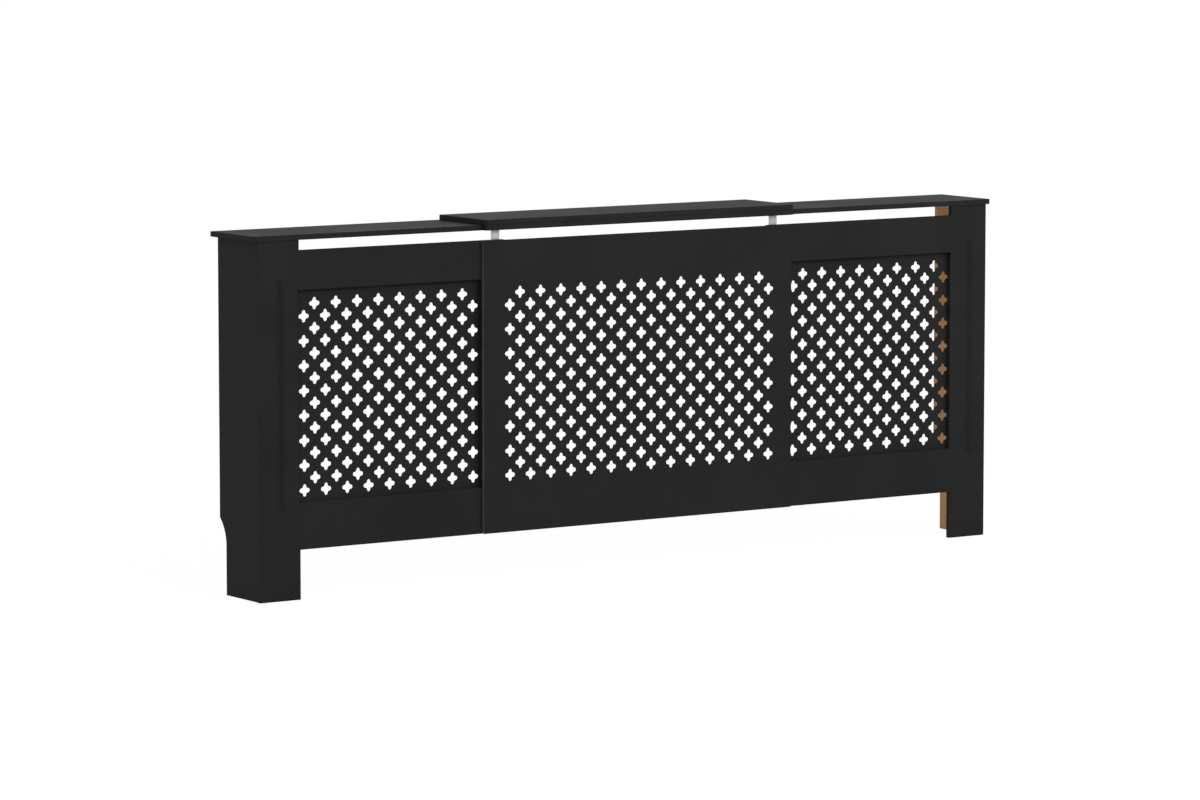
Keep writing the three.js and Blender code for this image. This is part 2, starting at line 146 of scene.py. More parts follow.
def colour(name, description, hex_value):
    """A colour as its three sRGB parts, written as hex."""
    parts = [int(hex_value[i : i + 2], 16) / 255 for i in (1, 3, 5)]
    return FloatVectorProperty(
        name=name, description=description, default=parts, size=3, min=0, max=1, subtype="COLOR_GAMMA"
    )


class CoverFinishes(bpy.types.PropertyGroup):
    """Colours of the finishes, in sRGB."""

    paint: colour("Paint", "Black satin lacquer", "#242424")
    paint_light: colour("Paint, light", "The lacquer where it lies thickest", "#282828")
    # The edge paint is partly a thin, slightly browner coat on cut edges and partly painted highlight: its much
    # lighter tone stands in for the sheen of the eased edges.
    edge_highlight_paint: colour("Edge paint", "Thin lacquer on cut edges", "#56554c")
    edge_highlight_paint_light: colour("Edge paint, light", "The same where it is thinnest", "#626157")
    board: colour("Board", "Bare fibreboard", "#cba377")
    board_dark: colour("Board, dark", "Its darker fibres", "#af885e")
    board_light: colour("Board, light", "Its paler fibres", "#dbb58a")
    zinc: colour("Zinc", "Zinc plated steel", "#acacac")
    aluminium: colour("Aluminium", "Anodised aluminium", "#c8cacc")


class StageSettings(bpy.types.PropertyGroup):
    """Camera and light."""

    camera_x: number("Camera X", "Left or right of the cover", -6.9878, unit="LENGTH")
    camera_y: number("Camera Y", "In front of the cover", -10.2941, unit="LENGTH")
    camera_z: number("Camera height", "Above the floor", 1.7581, unit="LENGTH")
    camera_turn: number("Camera turn", "Turned towards +X", 0.59310, subtype="ANGLE")
    camera_dip: number("Camera dip", "Turned down from level", 0.11005, subtype="ANGLE")
    camera_lens: number("Lens", "Focal length on a 36 mm sensor, in millimetres", 161.547, min=1.0)
    world_light: number("World light", "Strength of the even light all round", 0.70, min=0.0)
    front_light: number("Front light", "Power of the softbox in front, in watts", 150.0, min=0.0)


# ---- Outlines: closed, anticlockwise, one row for each point ----
def rectangle(u0, v0, u1, v1):
    """The four corners of a box in its plane, anticlockwise from the lower left."""
    return np.array([[u0, v0], [u1, v0], [u1, v1], [u0, v1]])


def mirrored(outline, sign):
    """The outline as drawn for the right, or with u negated and its order turned round for the left."""
    return outline if sign > 0 else (outline * [-1, 1])[::-1]


def arc(centre, radius, start, end, steps):
    """Points on a circle: centre plus radius times (cos, sin) of angles evenly spaced from start to end."""
    angle = np.linspace(start, end, steps + 1)
    return np.asarray(centre) + radius * np.column_stack([np.cos(angle), np.sin(angle)])


def circle(centre, radius, sides=20):
    """A ring about the centre whose first point stands half a step above the first axis."""
    half = math.pi / sides
    return arc(centre, radius, half, 2 * math.pi - half, steps=sides - 1)


def stadium(centre_u, low, high, radius, steps=16):
    """Two straight sides joined by half circles of the given radius about the points at low and high."""
    ends = ((high, 0, math.pi), (low, math.pi, 2 * math.pi))
    return np.vstack([arc((centre_u, v), radius, start, end, steps) for v, start, end in ends])


def inset(outline, distance):
    """Each point moves inwards by distance along the bisector of its two edges' normals,
    lengthened so that both edges move by exactly that distance."""
    edge = np.roll(outline, -1, axis=0) - outline
    normal = np.column_stack([-edge[:, 1], edge[:, 0]]) / np.linalg.norm(edge, axis=1)[:, None]
    before = np.roll(normal, 1, axis=0)
    share = 1 + (before * normal).sum(axis=1)
    return outline + distance * (before + normal) / share[:, None]


def cut_at(outline, level=0.0):
    """The outline with a point added on each side at the given height, and the length of its upper part.
    It starts at the right-hand point and runs over the top to the left-hand one, then under."""
    after = np.roll(outline, -1, axis=0)
    low, low_after = outline[:, 1] < level, after[:, 1] < level
    rise, fall = np.flatnonzero(low & ~low_after)[0], np.flatnonzero(~low & low_after)[0]
    share = (level - outline[:, 1]) / np.where(after[:, 1] == outline[:, 1], 1, after[:, 1] - outline[:, 1])
    crossing = outline + share[:, None] * (after - outline)
    n = len(outline)
    upper = (np.arange((fall - rise) % n) + rise + 1) % n
    lower = (np.arange((rise - fall) % n) + fall + 1) % n
    points = np.vstack([crossing[rise], outline[upper], crossing[fall], outline[lower]])
    return points, len(upper) + 2


# ---- Surfaces: a patch is (points of n faces with k corners, finish, rim) ----
def facing_room(y):
    """The upright plane at y whose face looks into the room."""
    return np.array([0, y, 0]), X, Z


def laid(points, depth, plane):
    """Plane points carried into space: origin + u * first axis + v * second axis, then depth below the
    face, along minus the cross product of the two axes."""
    origin, first, second = plane
    points = np.asarray(points, float)
    return origin + points[..., :1] * first + points[..., 1:2] * second - depth * np.cross(first, second)


def band(ring_a, ring_b, finish=PAINT, rim_a=0.0, rim_b=0.0, closed=True):
    """Quads between two rings of the same number of points, from point i of one to point i of the other."""
    if closed:
        ring_a, ring_b = (np.vstack([r, r[:1]]) for r in (ring_a, ring_b))
    quads = np.stack([ring_a[:-1], ring_a[1:], ring_b[1:], ring_b[:-1]], axis=1)
    return quads, finish, np.array([rim_a, rim_a, rim_b, rim_b])


def face(points, finish=PAINT):
    """One flat face with as many corners as it has points."""
    return points[None], finish, np.zeros(len(points))


def cap(outer, holes, plane, depth, finish, level, flip):
    """The flat face between an outline and its holes, as two faces that meet at one level across all of
    them: the upper one follows the outline over the top and comes back over the holes, the lower one under."""
    if not holes:
        whole = laid(outer, depth, plane)
        return [face(whole[::-1] if flip else whole, finish)]
    rings = [cut_at(outer, level)]
    rings += sorted((cut_at(h, level) for h in holes), key=lambda ring: ring[0][:, 0].mean())
    (edge, n), inner = rings[0], rings[1:]
    upper = [edge[:n]] + [h[:m][::-1] for h, m in inner]
    lower = [np.vstack([edge[n - 1 :], edge[:1]])]
    lower += [np.vstack([h[m - 1 :], h[:1]])[::-1] for h, m in inner[::-1]]
    halves = [laid(np.vstack(half), depth, plane) for half in (upper, lower)]
    return [face(half[::-1] if flip else half, finish) for half in halves]


def board(outline, thickness, plane, holes=(), pockets=(), level=0.0, finishes=(PAINT, PAINT, BARE), rim=0.0):
    """A flat board: the outline carried straight through the thickness, with holes right through and
    pockets from the front. A bare back has a rim strip all round it, which the overspray follows."""
    front, edges, back = finishes
    split = bool(holes or pockets)
    rings = [(outline, 1)] + [(h, -1) for h in holes]
    inner = [inset(ring, way * rim) if rim else ring for ring, way in rings]
    patches = cap(outline, [*holes, *(p[0] for p in pockets)], plane, 0.0, front, level, False)
    patches += cap(inner[0], inner[1:], plane, thickness, back, level, True)
    for (ring, way), shrunk in zip(rings, inner):
        if split:
            ring, shrunk = cut_at(ring, level)[0], cut_at(shrunk, level)[0]
        top, bottom = laid(ring, 0.0, plane), laid(ring, thickness, plane)
        patches.append(band(*(bottom, top)[::way], edges))
        if rim:
            low = laid(shrunk, thickness, plane)
            patches.append(band(*(low, bottom)[::way], back, *(0.0, 1.0)[::way]))
    for mouth, foot, depth in pockets:
        mouth, foot = cut_at(mouth, level)[0], cut_at(foot, level)[0]
        patches.append(band(laid(mouth, 0.0, plane), laid(foot, depth, plane), front))
        patches.append(face(laid(foot, depth, plane), front))
    return patches


def four_turns(quarter):
    """A quarter of an outline carried round by four quarter turns."""
    turn = np.array([[0, 1], [-1, 0]])
    return np.vstack([quarter @ np.linalg.matrix_power(turn, k) for k in range(4)])


WAIST_SHARE = 0.74  # the radius between two lobes, as a share of a lobe's


def clover(sizes):
    """One clover about its centre. Each lobe is a circle about a point on an axis; a smaller circle about
    a point on the diagonal touches two lobes from outside and makes the waist between them."""
    lobe, offset = sizes.lobe_radius, sizes.lobe_offset
    fillet = WAIST_SHARE * lobe
    reach = lobe + fillet
    diagonal = (offset + math.sqrt(2 * reach**2 - offset**2)) / 2
    touch = math.atan2(diagonal, diagonal - offset)
    half = np.vstack([arc((offset, 0), lobe, 0, touch, steps=3), [[diagonal - fillet / math.sqrt(2)] * 2]])
    return four_turns(np.vstack([half, half[-2:0:-1, ::-1]]))


def pierced_sheet(sheet, first, columns, sizes, front_y, thickness):
    """A thin sheet with clovers through it. The clovers' cells are squares standing on a corner, which
    tile the plane: each is a ring of quads from the clover's points to points along the square's sides.
    Strips run from the zigzag edge of the cells straight to the sheet's four sides."""
    half, rows = sizes.pitch / 2, sizes.rows
    outline = clover(sizes)
    steps = len(outline) // 4
    corner = half * np.array([[1, 0], [0, 1], [-1, 0], [0, -1], [1, 0]])
    along = np.arange(4 * steps) / steps
    cell = np.column_stack([np.interp(along, range(5), corner[:, k]) for k in (0, 1)])
    column, row = np.meshgrid(np.arange(columns), np.arange(rows), indexing="ij")
    centre_z = first[1] + row * sizes.pitch + (column % 2) * half
    centres = np.column_stack([(first[0] + column * half).ravel(), centre_z.ravel()])
    ring = np.stack([cell, np.roll(cell, -1, 0), np.roll(outline, -1, 0), outline], axis=1)
    far_rim = np.array([0.0, 0.0, 1.0, 1.0])
    flat = [((centres[:, None, None] + ring).reshape(-1, 4, 2), far_rim)]

    x0, z0, x1, z1 = sheet
    last_x = first[0] + (columns - 1) * half
    foot, head = first[1] - half, first[1] + (rows - 1) * sizes.pitch + half
    # Each zigzag: its axis, its sides, the two lines it swings between, the rim beside it, its quads' order.
    zigzags = (
        (0, columns - 1, foot, foot + half, z0, 1),
        (0, columns - 1, head, head + half, z1, -1),
        (1, 2 * rows, first[0], first[0] - half, x0, -1),
        (1, 2 * rows, last_x, last_x + half, x1, 1),
    )
    rims = []
    for axis, count, near, far, at, way in zigzags:
        run = np.linspace(0, count, count * steps + 1)
        swing = np.interp(run, np.arange(count + 1), np.where(np.arange(count + 1) % 2, far, near))
        edge = np.column_stack([(first[0], foot)[axis] + run * half, swing])
        edge = edge[:, ::-1] if axis else edge
        rim = edge.copy()
        rim[:, 1 - axis] = at
        rims.append(rim)
        flat.append((band(*(rim, edge)[::way], closed=False)[0], np.zeros(4)))
    boxes = (x0, z0, first[0], foot), (last_x, z0, x1, foot), (last_x, head, x1, z1), (x0, head, first[0], z1)
    flat.append((np.array([rectangle(*box) for box in boxes]), np.zeros(4)))

    plane = facing_room(front_y)
    patches = []
    for points, rim in flat:
        patches.append((laid(points, 0.0, plane), PAINT, rim))
        patches.append((laid(points[:, ::-1], thickness, plane), BARE, rim[::-1]))
    around = centres[:, None] + outline
    after = np.roll(around, -1, axis=1)
    wall = [laid(points, 0.0, plane) for points in (around, after)]
    wall += [laid(points, thickness, plane) for points in (after, around)]
    patches.append((np.stack(wall, axis=2).reshape(-1, 4, 3), PAINT, far_rim))
    low, high, left, right = rims
    rim_line = np.vstack([[[x0, z0]], low, [[x1, z0]], right, [[x1, z1]], high[::-1], [[x0, z1]], left[::-1]])
    patches.append(band(laid(rim_line, thickness, plane), laid(rim_line, 0.0, plane), EDGE, 1.0, 0.0))
    return patches


def turned_body(profile, ends=(True, True)):
    """A profile of (radius, distance) pairs carried round the third axis: each pair becomes a ring of
    radius times (cos, sin) at that distance. The ends are closed by flat faces where wanted."""
    around = cut_at(circle((0, 0), 1.0))[0]
    rings = [np.column_stack([radius * around, np.full(len(around), height)]) for radius, height in profile]
    patches = [band(a, b) for a, b in zip(rings, rings[1:])]
    if ends[0]:
        patches.append(face(rings[0][::-1]))
    if ends[1]:
        patches.append(face(rings[-1]))
    return patches


def moved(patches, point, direction):
    """Patches made about the third axis, turned so that it points along direction, and set at point."""
    rotation = np.array(Vector((0, 0, 1)).rotation_difference(Vector(direction)).to_matrix())
    return [(points @ rotation.T + point, finish, rim) for points, finish, rim in patches]


# The sweep of a screw's dome, and three shares: its point to its shank, the cross recess's foot to its
# mouth, and the recess's depth to the head's height.
DOME_SWEEP, POINT_SHARE, RECESS_FOOT, RECESS_DEPTH = math.radians(60), 0.2, 0.8, 0.6


def pan_screw(head_radius, reach, sizes):
    """A screw along the third axis from the top of its head: a dome, a flat top with a cross recess, a
    shank and a point. The dome's radius at height h above its rim is head * cos(h / height * 60 degrees)."""
    rings = np.linspace(1, 0, 5)
    dome = [(head_radius * math.cos(DOME_SWEEP * rise), sizes.screw_head * (1 - rise)) for rise in rings]
    shank = sizes.screw_radius
    shaft = [(shank, sizes.screw_head), (shank, reach - sizes.screw_tip), (POINT_SHARE * shank, reach)]
    patches = turned_body(dome + shaft, ends=(False, True))
    arm, half = sizes.cross_reach, sizes.cross_width
    cross = four_turns(np.array([[arm, -half], [arm, half], [half, half]]))
    top = (np.zeros(3), X, -Y)
    patches += cap(circle((0, 0), dome[0][0]), [cross], top, 0.0, PAINT, 0.0, False)
    mouth, foot = (cut_at(ring)[0] for ring in (cross, RECESS_FOOT * cross))
    deep = laid(foot, RECESS_DEPTH * sizes.screw_head, top)
    return patches + [band(laid(mouth, 0.0, top), deep), face(deep)]


HEAD_EDGE = 0.2  # a bolt head's bevel, as a share of its height


def guide_bolt(head_radius, reach, sizes):
    """A bolt along the third axis from the front of its flat head. Its thread is a zigzag of crests and
    roots, one of each in every pitch."""
    crest, root = sizes.bolt_radius, sizes.bolt_radius - sizes.thread_depth
    edge = HEAD_EDGE * sizes.bolt_head
    profile = [(head_radius - edge, 0), (head_radius, edge), (head_radius, sizes.bolt_head)]
    profile += [(crest, sizes.bolt_head)]
    for turn in range(int((reach - sizes.thread_start) / sizes.thread_pitch)):
        start = sizes.thread_start + turn * sizes.thread_pitch
        profile += [(crest, start), (root, start + sizes.thread_pitch / 2)]
    return turned_body([*profile, (root, reach)])


# Shares: a nut's bore to its bolt, its hub's straight foot to its height, a wing's lobe to its rise, and to
# the hub's radius its top, a wing's thickness, and the wing's root, foot and top.
NUT_BORE, HUB_FOOT, LOBE_SHARE = 1.1, 0.25, 0.34
HUB_TOP, WING_THICKNESS, WING_ROOT, WING_FOOT, WING_TOP = 0.75, 0.5, 0.5, 0.85, 0.6


def wing_nut(centre, span, depth, sizes):
    """A hub that tapers to three quarters of its foot, along the second axis, with two wings: each is a
    lobe about a point near its tip, drawn in to the hub by straight sides."""
    radius, height, rise = sizes.nut_radius, sizes.nut_height, sizes.wing_rise
    bore = NUT_BORE * sizes.bolt_radius
    hub = [(bore, 0), (radius, 0), (radius, HUB_FOOT * height), (HUB_TOP * radius, height), (bore, height)]
    patches = moved(turned_body([*hub, hub[0]], ends=(False, False)), centre, Y)
    lobe = LOBE_SHARE * (depth - rise)
    tip = np.array([span / 2 - lobe, depth - lobe])
    low = [[WING_ROOT * radius, rise], [WING_FOOT * radius, rise]]
    top = [[WING_TOP * radius, height], [WING_ROOT * radius, height]]
    wing = np.vstack([low, arc(tip, lobe, -0.3 * math.pi, 0.75 * math.pi, steps=10), top])
    thickness = WING_THICKNESS * radius
    plane = (centre + thickness / 2 * Z, X, Y)
    for sign in (1, -1):
        patches += board(mirrored(wing, sign), thickness, plane, finishes=(PAINT, PAINT, PAINT))
    return patches


def bent_bracket(corner, legs, lengths, insets, hole_radii, width, sizes):
    """A steel strip bent square. From the corner, the outside of leg one is at b = 0 and runs along a, that
    of leg two is at a = 0 and runs along b. The bend is a quarter circle about a = b = the bend's radius,
    and each leg is a plate from there on, with two rounded corners and one hole."""
    one, two = legs
    across = np.cross(one, two)
    bend, thick, half = sizes.bracket_bend, sizes.bracket_thickness, width / 2
    patches = []
    planes = ((corner + bend * one, one, across), (corner + bend * two, two, -across))
    for plane, reach, inset_at, hole_radius in zip(planes, lengths, insets, hole_radii):
        end, nick = reach - bend, sizes.bracket_corner
        lower = arc((end - nick, nick - half), nick, -math.pi / 2, 0, steps=5)
        upper = arc((end - nick, half - nick), nick, 0, math.pi / 2, steps=5)
        outline = np.vstack([[[0, -half]], lower, upper, [[0, half]]])
        path = np.vstack([[[0, -half]], lower, [[end, 0]], upper, [[0, half]]])
        hole = circle((inset_at - bend, 0), hole_radius)
        for depth, flip in ((0.0, False), (thick, True)):
            patches += cap(outline, [hole], plane, depth, PAINT, 0.0, flip)
        ring = cut_at(hole)[0]
        patches.append(band(laid(path, thick, plane), laid(path, 0.0, plane), closed=False))
        patches.append(band(laid(ring, 0.0, plane), laid(ring, thick, plane)))

    angles = np.linspace(1.5 * math.pi, math.pi, 5)

    def bent(radius, shift):
        """The bend's points at a radius, from leg one to leg two, shifted along its width."""
        a, b = bend + radius * np.cos(angles), bend + radius * np.sin(angles)
        return corner + np.outer(a, one) + np.outer(b, two) + shift * across

    for radius, way in ((bend, 1), (bend - thick, -1)):
        lines = np.stack([bent(radius, shift) for shift in (-half, 0, half)], axis=1)[::way]
        patches += [band(a, b, closed=False) for a, b in zip(lines, lines[1:])]
    for shift, first, second in ((-half, bend, bend - thick), (half, bend - thick, bend)):
        patches.append(band(bent(first, shift), bent(second, shift), closed=False))
    return patches


# ---- Meshes and objects ----
CELLS_PER_METRE, CELL_SHIFT = 1e6, 0.37  # the shift keeps round sizes off the cells' borders
EASE_ABOVE = math.radians(40)  # blunter edges aren't eased


def welded_mesh(name, patches):
    """A mesh of all the patches' faces. Corners that agree to a micrometre become one vertex, and the rim
    value of a vertex is the highest of its corners'."""
    corners = np.concatenate([points.reshape(-1, 3) for points, _, _ in patches])
    rims = np.concatenate([np.broadcast_to(rim, points.shape[:2]).ravel() for points, _, rim in patches])
    counts = np.concatenate([np.full(len(points), points.shape[1]) for points, _, _ in patches])
    finishes = np.concatenate([np.full(len(points), finish) for points, finish, _ in patches])
    grid = np.floor(corners * CELLS_PER_METRE + CELL_SHIFT).astype(np.int64)
    _, first, index = np.unique(grid, axis=0, return_index=True, return_inverse=True)
    index = index.ravel()
    rim = np.zeros(len(first))
    np.maximum.at(rim, index, rims)
    mesh = bpy.data.meshes.new(name)
    mesh.vertices.add(len(first))
    mesh.vertices.foreach_set("co", corners[first].astype(np.float32).ravel())
    mesh.loops.add(len(index))
    mesh.loops.foreach_set("vertex_index", index.astype(np.int32))
    mesh.polygons.add(len(counts))
    mesh.polygons.foreach_set("loop_start", np.concatenate([[0], np.cumsum(counts)[:-1]]).astype(np.int32))
    mesh.polygons.foreach_set("material_index", finishes.astype(np.int32))
    mesh.update(calc_edges=True)
    mesh.validate()
    mesh.attributes.new("rim", "FLOAT", "POINT").data.foreach_set("value", rim.astype(np.float32))
    return mesh


def placed(name, data):
    """A new object at the origin, linked to the scene."""
    made = bpy.data.objects.new(name, data)
    bpy.context.scene.collection.objects.link(made)
    return made


def add_piece(name, patches, materials, body, nodes, ease=0.0, smooth_below=25.0):
    """Makes one piece, rides it on its body and lets it stand for its CAD nodes."""
    mesh = welded_mesh(name, patches)
    for material in materials:
        mesh.materials.append(material)
    mesh.polygons.foreach_set("use_smooth", np.ones(len(mesh.polygons), bool))
    mesh.set_sharp_from_angle(angle=math.radians(smooth_below))
    piece = placed(name, mesh)
    if ease > 0:
        bevel = piece.modifiers.new("eased edges", "BEVEL")
        bevel.width, bevel.segments = ease, 2
        bevel.limit_method, bevel.angle_limit = "ANGLE", EASE_ABOVE
        bevel.harden_normals = True
    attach(piece, body)
    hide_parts(*nodes)


# ---- Finishes ----
def linear(parts):
    """sRGB parts from 0 to 1, as a picker gives them, turned to linear with an alpha of 1."""
    return [p / 12.92 if p <= 0.04045 else ((p + 0.055) / 1.055) ** 2.4 for p in parts] + [1.0]


def add_node(tree, kind, settings=None, values=None, links=None):
    """Adds a node with its settings, its inputs' values and the sockets linked to them."""
    made = tree.nodes.new(kind)
    for key, value in (settings or {}).items():
        setattr(made, key, value)
    for key, value in (values or {}).items():
        made.inputs[key].default_value = value
    for key, socket in (links or {}).items():
        tree.links.new(socket, made.inputs[key])
    return made


def made_once(add_nodes):
    """Lets a function that adds nodes and gives their shader give the material of its name, made once."""

    def material():
        name = add_nodes.__name__
        if name not in bpy.data.materials:
            made = bpy.data.materials.new(name)
            made.use_nodes = True
            made.node_tree.nodes.clear()
            shader = add_nodes(made.node_tree, bpy.context.scene.cover_finishes)
            add_node(made.node_tree, "ShaderNodeOutputMaterial", links={"Surface": shader})
        return bpy.data.materials[name]

    return material


NOISE_SPAN = (0.3, 0.7)  # where most of a noise's values lie


def noise(tree, where, scale, detail, **more):
    """Noise at the places given, with its scale per metre, its detail and further values."""
    values = {"Scale": scale, "Detail": detail, **more}
    return add_node(tree, "ShaderNodeTexNoise", {}, values, {"Vector": where}).outputs["Fac"]


def remap(tree, value, given, wanted):
    """A value's given span stretched to the wanted one, and held at its ends."""
    values = dict(zip(("From Min", "From Max", "To Min", "To Max"), (*given, *wanted)))
    return add_node(tree, "ShaderNodeMapRange", {}, values, {"Value": value}).outputs["Result"]


def bump(tree, height, strength, distance):
    """The normals of a surface that a height value raises by up to distance, in metres."""
    values = {"Strength": strength, "Distance": distance}
    return add_node(tree, "ShaderNodeBump", {}, values, {"Height": height}).outputs["Normal"]


def surface(tree, values, links):
    """A principled shader with its constants and its links."""
    return add_node(tree, "ShaderNodeBsdfPrincipled", {}, values, links).outputs["BSDF"]


def object_space(tree):
    """The object's own coordinates, in metres."""
    return add_node(tree, "ShaderNodeTexCoord").outputs["Object"]


def ramp(tree, value, *stops):
    """The colour of a value between stops of (place, sRGB colour)."""
    made = add_node(tree, "ShaderNodeValToRGB", links={"Fac": value})
    elements = made.color_ramp.elements
    while len(elements) < len(stops):
        elements.new(1.0)
    for element, (place, parts) in zip(elements, stops):
        element.position, element.color = place, linear(parts)
    return made.outputs["Color"]


def lacquer(tree, dark, light, rough):
    """Sprayed acrylic lacquer between two tones and two roughnesses, with a faint orange peel."""
    where = object_space(tree)
    # Coats vary over about 150 mm: 1 / 0.15 m.
    coat = noise(tree, where, 6.7, 2.0)
    # Orange peel has bumps of about 2 mm; drawn at 5 mm so that a render can show it: 1 / 0.005 m.
    peel = noise(tree, where, 200.0, 1.0)
    links = {"Base Color": ramp(tree, coat, (0.35, dark), (0.65, light))}
    links |= {"Roughness": remap(tree, coat, NOISE_SPAN, rough), "Normal": bump(tree, peel, 0.10, 0.0003)}
    return surface(tree, {"IOR": 1.45, "Specular IOR Level": 0.06}, links)


@made_once
def satin_black_lacquer(tree, finishes):
    """Sprayed satin acrylic lacquer on MDF."""
    # A dark, even, slightly soft sheen, with the faint orange peel that spraying leaves.
    return lacquer(tree, finishes.paint, finishes.paint_light, (0.58, 0.68))


@made_once
def thin_lacquer_with_painted_highlight(tree, finishes):
    """One thin coat of the same lacquer on cut edges, where the board drinks it in, made lighter as a painted
    highlight of the eased edges.
    """
    # A duller and slightly browner black than the faces beside it, and lighter: painted highlight standing in for
    # the sheen on the eased edges.
    return lacquer(tree, finishes.edge_highlight_paint, finishes.edge_highlight_paint_light, (0.74, 0.84))


@made_once
def bare_fibreboard(tree, finishes):
    """Sanded raw MDF with a ragged mist of black paint along its rim."""
    # Matt and warm brown, a felt of pale and dark fibres, with black dust where the spray went past the edge.
    where = object_space(tree)
    # Fibre bundles are 1 to 2 mm across; drawn at 4 mm so that a render can show them: 1 / 0.004 m.
    fibre = noise(tree, where, 250.0, 4.0, Roughness=0.7, Distortion=1.2)
    tone = ramp(tree, fibre, (0.30, finishes.board_dark), (0.50, finishes.board), (0.72, finishes.board_light))
    # Clouds of fibre density, about 90 mm across: 1 / 0.09 m.
    shade = remap(tree, noise(tree, where, 11.0, 2.0), NOISE_SPAN, (0.90, 1.06))
    wood = add_node(tree, "ShaderNodeVectorMath", {"operation": "SCALE"}, links={0: tone, "Scale": shade})
    rim = add_node(tree, "ShaderNodeAttribute", {"attribute_name": "rim"}).outputs["Fac"]
    # The mist breaks up over about 3 mm: 1 / 0.003 m.
    ragged = noise(tree, where, 330.0, 3.0)
    reach = add_node(tree, "ShaderNodeMath", {"operation": "ADD"}, links={0: rim, 1: ragged}).outputs["Value"]
    mist = remap(tree, reach, (1.12, 1.42), (0.0, 0.9))
    links = {"Factor": mist, 6: wood.outputs["Vector"]}
    mixed = add_node(tree, "ShaderNodeMix", {"data_type": "RGBA"}, {7: linear(finishes.paint)}, links)
    links = {"Base Color": mixed.outputs[2], "Normal": bump(tree, fibre, 0.25, 0.0003)}
    return surface(tree, {"Roughness": 0.88, "IOR": 1.45, "Specular IOR Level": 0.25}, links)


def metal(tree, tone, pattern, rough, relief):
    """Metal of one tone. A pattern varies its roughness and raises its surface by up to 0.1 mm."""
    links = {"Roughness": remap(tree, pattern, NOISE_SPAN, rough), "Normal": bump(tree, pattern, relief, 0.0001)}
    return surface(tree, {"Base Color": linear(tone), "Metallic": 1.0}, links)


@made_once
def zinc_plated_steel(tree, finishes):
    """Bright zinc plate on pressed steel."""
    # A cool grey metal whose plating clouds a little, with soft blurred reflections.
    # The plating's crystals cloud it over about 3 mm: 1 / 0.003 m.
    return metal(tree, finishes.zinc, noise(tree, object_space(tree), 330.0, 3.0), (0.30, 0.46), 0.08)


@made_once
def anodised_aluminium(tree, finishes):
    """Extruded aluminium, clear anodised."""
    # Pale satin metal with fine die lines along its length.
    # Die lines every 0.4 mm or so across and very long along X; drawn at 1 mm: 1 / 0.001 m.
    values = {"Scale": (4.0, 1000.0, 1000.0)}
    stretched = add_node(tree, "ShaderNodeMapping", values=values, links={"Vector": object_space(tree)})
    lines = noise(tree, stretched.outputs["Vector"], 1.0, 2.0)
    return metal(tree, finishes.aluminium, lines, (0.28, 0.40), 0.12)


# ---- Pieces ----
def corners(node):
    """A CAD node's two corners as arrays."""
    low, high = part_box(node)
    return np.array(low), np.array(high)


def window(side, sign):
    """The window of one end unit's front frame: left, bottom, right, top."""
    sizes = bpy.context.scene.cover_sizes
    low, high = corners(f"{side}_front_frame")
    outer_x = max(abs(low[0]), abs(high[0])) - sizes.outer_stile
    inner_x = min(abs(low[0]), abs(high[0])) + sizes.rail_tongue + sizes.inner_stile
    x0, x1 = sorted((sign * outer_x, sign * inner_x))
    shift = sizes.window_shift
    return x0 - shift, sizes.floor_gap + sizes.bottom_rail, x1 - shift, sizes.rail_top - sizes.top_rail


NUT_EASE = 0.0003  # the rounding of a wing nut's edges


def add_board(name, patches, body, node, ease, coat=satin_black_lacquer):
    """Makes one MDF piece with a coat on its painted faces."""
    add_piece(name, patches, [coat(), bare_fibreboard()], body, [node], ease)


def add_fitting(side, name, patches, node, ease=0.0):
    """Makes one zinc plated piece of an end unit."""
    add_piece(f"{side}_{name}", patches, [zinc_plated_steel()], f"{side}_unit", [f"{side}_{node}"], ease)


class CoverStep:
    """What the operators share."""

    bl_options = {"REGISTER", "UNDO"}


class COVER_OT_front_frames(CoverStep, bpy.types.Operator):
    """Front frames of the two end units, each with its window and its V groove"""

    bl_idname = "cover.front_frames"
    bl_label = "Front frames"

    def execute(self, context):
        sizes, groove = context.scene.cover_sizes, context.scene.cover_groove
        for side, sign in SIDES:
            low, high = corners(f"{side}_front_frame")
            outer, inner = sorted((abs(low[0]), abs(high[0])), reverse=True)
            leg, stile = outer - sizes.leg_width, inner + sizes.rail_tongue
            opening = window(side, sign)
            foot, head = sizes.floor_gap, sizes.rail_top
            lower, upper = opening[1] - sizes.tongue_setback, opening[3] + sizes.tongue_setback
            outline = [[inner, foot], [leg, foot], [leg, 0], [outer, 0], [outer, high[2]], [leg, high[2]]]
            outline += [[leg, head], [inner, head], [inner, upper], [stile, upper], [stile, lower], [inner, lower]]
            centre = sign * (outer - sizes.leg_width / 2)
            radius = groove.width / 2
            ends = opening[1] - groove.overrun + radius, opening[3] + groove.overrun - radius
            pocket = stadium(centre, *ends, radius), stadium(centre, *ends, groove.floor / 2), groove.depth
            outline, plane = mirrored(np.array(outline), sign), facing_room(low[1])
            cuts = {"holes": [rectangle(*opening)], "pockets": [pocket], "level": (opening[1] + opening[3]) / 2}
            patches = board(outline, high[1] - low[1], plane, rim=sizes.overspray, **cuts)
            add_board(f"{side}_windowed_frame", patches, f"{side}_unit", f"{side}_front_frame", sizes.edge_ease)
        return {"FINISHED"}


